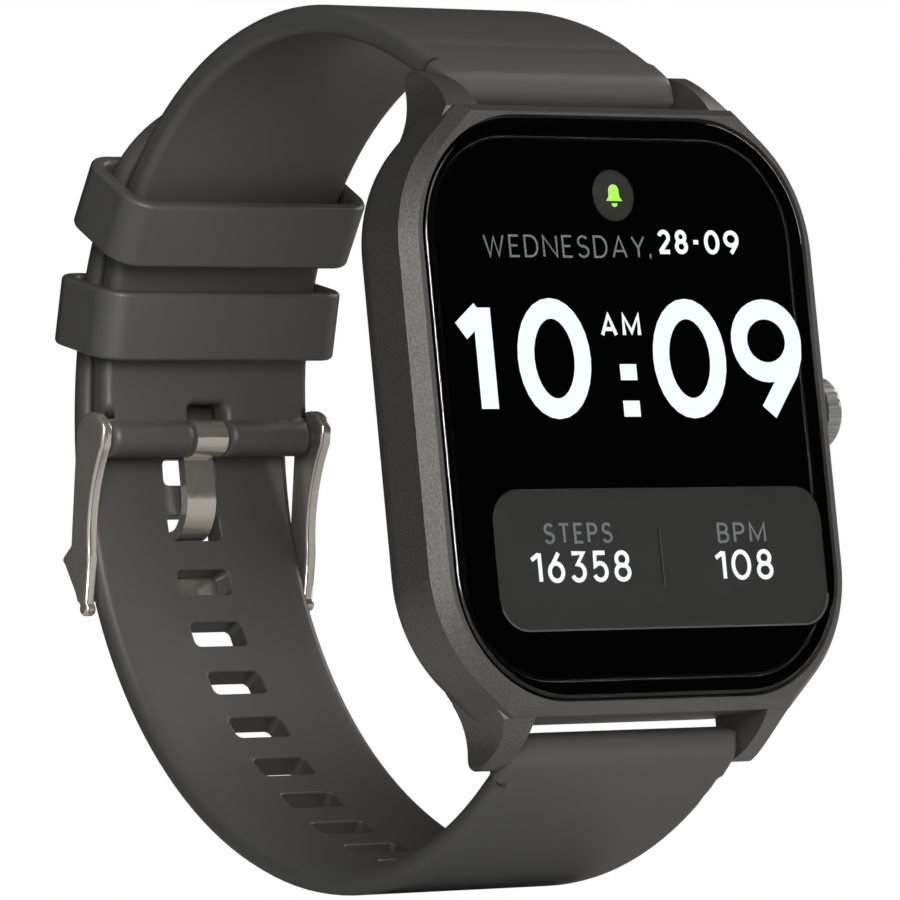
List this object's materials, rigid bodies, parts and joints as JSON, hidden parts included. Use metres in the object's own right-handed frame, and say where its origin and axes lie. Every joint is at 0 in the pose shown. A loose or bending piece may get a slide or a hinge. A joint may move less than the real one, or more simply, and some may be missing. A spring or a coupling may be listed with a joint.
{
  "type": "smartwatch",
  "caption": "Rectangular smartwatch with a dark metal case, side crown and a rubber strap closed in a loop by a steel pin buckle and two keepers.",
  "frame": {"origin": "centre of the wrist face of the case, on the sensor window", "axes": "+X towards the crown (3 o'clock), +Y from the glass into the wrist, +Z towards 12 o'clock"},
  "size_m": [0.041, 0.0601, 0.0682],
  "materials": {
    "case_metal": "fine bead-blasted dark graphite",
    "glass_black": "polished black glass",
    "display": "display panel",
    "flex": "amber flexible circuit",
    "inner_plastic": "moulded black plastic",
    "battery_foil": "laminated foil pouch",
    "board": "green circuit board",
    "chip": "moulded chip",
    "steel": "turned steel",
    "seal_rubber": "soft seal",
    "back_plastic": "moulded dark cover",
    "gold": "gold plated",
    "crown_metal": "satin grey fluted metal",
    "strap_rubber": "satin silicone",
    "polished_steel": "mirror polished"
  },
  "bodies": {
    "watch": {"case_frame": "case_metal", "cover_glass": "glass_black", "glass_gasket": "seal_rubber", "display_panel": "display", "display_flex": "flex", "inner_frame": "inner_plastic", "battery": "battery_foil", "main_board": "board", "board_chips": "chip", "battery_plug": "inner_plastic", "motor_can": "steel", "motor_shaft": "steel", "speaker": "inner_plastic", "microphone": "steel", "antenna": "flex", "back_cover": "back_plastic", "back_gasket": "seal_rubber", "sensor_window": "glass_black", "sensor_board": "board", "sensor_lights": "chip", "charging_contacts": "gold", "back_screws": "steel", "crown_bush": "steel", "crown_seal": "seal_rubber", "crown_switch": "inner_plastic", "crown_spring": "steel", "top_bar_tube": "steel", "top_bar_spring": "steel", "bottom_bar_tube": "steel", "bottom_bar_spring": "steel", "buckle_strap": "strap_rubber", "holed_strap": "strap_rubber"},
    "crown_carrier": {"crown_slider": "steel"},
    "crown_wheel": {"crown": "crown_metal"},
    "rotor": {"motor_rotor": "steel"},
    "pin_top_left": {"top_pin_left": "steel"},
    "pin_top_right": {"top_pin_right": "steel"},
    "pin_bottom_left": {"bottom_pin_left": "steel"},
    "pin_bottom_right": {"bottom_pin_right": "steel"},
    "keeper_upper": {"upper_keeper": "strap_rubber"},
    "keeper_lower": {"lower_keeper": "strap_rubber"},
    "buckle": {"buckle_frame": "polished_steel", "buckle_bar": "steel"},
    "tongue": {"buckle_tongue": "polished_steel"}
  },
  "joints": [
    {"name": "crown_push", "type": "slide", "parent": "watch", "child": "crown_carrier", "axis": [-1, 0, 0], "range_m": [0, 0.00035], "stiffness_N_per_m": 1500, "springref_m": -0.0002, "deforming": ["crown_spring"]},
    {"name": "crown_spin", "type": "hinge", "parent": "crown_carrier", "child": "crown_wheel", "pos_m": [0.0199, -0.0064, 0], "axis": [1, 0, 0], "continuous": true},
    {"name": "motor_spin", "type": "hinge", "parent": "watch", "child": "rotor", "pos_m": [-0.011, -0.0061, 0.015], "axis": [0, 1, 0], "continuous": true},
    {"name": "buckle_swing", "type": "hinge", "parent": "watch", "child": "buckle", "pos_m": [0, 0.04455, 0.00577], "axis": [1, 0, 0], "range_deg": [0, 80]},
    {"name": "tongue_play", "type": "hinge", "parent": "watch", "child": "tongue", "pos_m": [0, 0.04455, 0.00577], "axis": [1, 0, 0], "range_deg": [-1.2, 1.4]},
    {"name": "upper_keeper_slide", "type": "hinge", "parent": "watch", "child": "keeper_upper", "pos_m": [0, 0.01635, 0.00533], "axis": [1, 0, 0], "range_deg": [-1.5, 24]},
    {"name": "lower_keeper_slide", "type": "hinge", "parent": "watch", "child": "keeper_lower", "pos_m": [0, 0.01635, 0.00533], "axis": [1, 0, 0], "range_deg": [-3, 1.5]},
    {"name": "top_pin_left_press", "type": "slide", "parent": "watch", "child": "pin_top_left", "axis": [1, 0, 0], "range_m": [0, 0.0014], "stiffness_N_per_m": 250},
    {"name": "bottom_pin_left_press", "type": "slide", "parent": "watch", "child": "pin_bottom_left", "axis": [1, 0, 0], "range_m": [0, 0.0014], "stiffness_N_per_m": 250},
    {"name": "top_pin_right_press", "type": "slide", "parent": "watch", "child": "pin_top_right", "axis": [-1, 0, 0], "range_m": [0, 0.0014], "stiffness_N_per_m": 250},
    {"name": "bottom_pin_right_press", "type": "slide", "parent": "watch", "child": "pin_bottom_right", "axis": [-1, 0, 0], "range_m": [0, 0.0014], "stiffness_N_per_m": 250}
  ]
}
